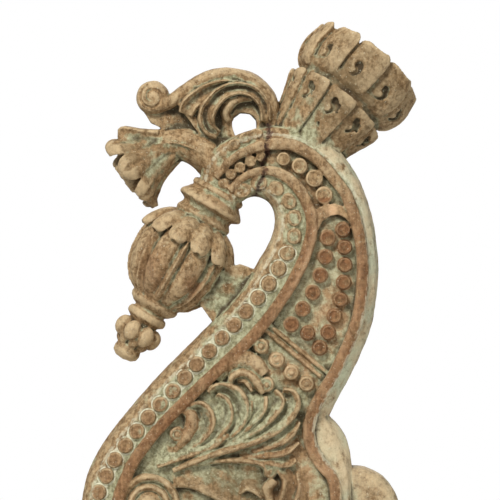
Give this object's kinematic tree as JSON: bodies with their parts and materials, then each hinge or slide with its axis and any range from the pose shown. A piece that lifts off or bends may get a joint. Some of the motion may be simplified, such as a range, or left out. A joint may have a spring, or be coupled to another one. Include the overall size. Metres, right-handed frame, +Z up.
{
  "type": "carved wooden bracket",
  "caption": "Swan-necked carved wooden bracket: hanging bud, open flower, rolled leaf and petal crown above beaded borders and a sunk leaf panel, on a flat-cut foot.",
  "frame": {"origin": "on the flat-cut foot, in the middle plane of the plank and near the middle of the foot's length", "axes": "+Z up the bracket, +X to the right as the carved show side is seen, +Y from the show side to the back"},
  "size_m": [0.3304, 0.1094, 0.5437],
  "materials": {
    "weathered_wood": "bare weathered hardwood with worn green-white paint left in the hollows"
  },
  "bodies": {
    "root": {"carved_bracket": "weathered_wood"}
  },
  "joints": []
}
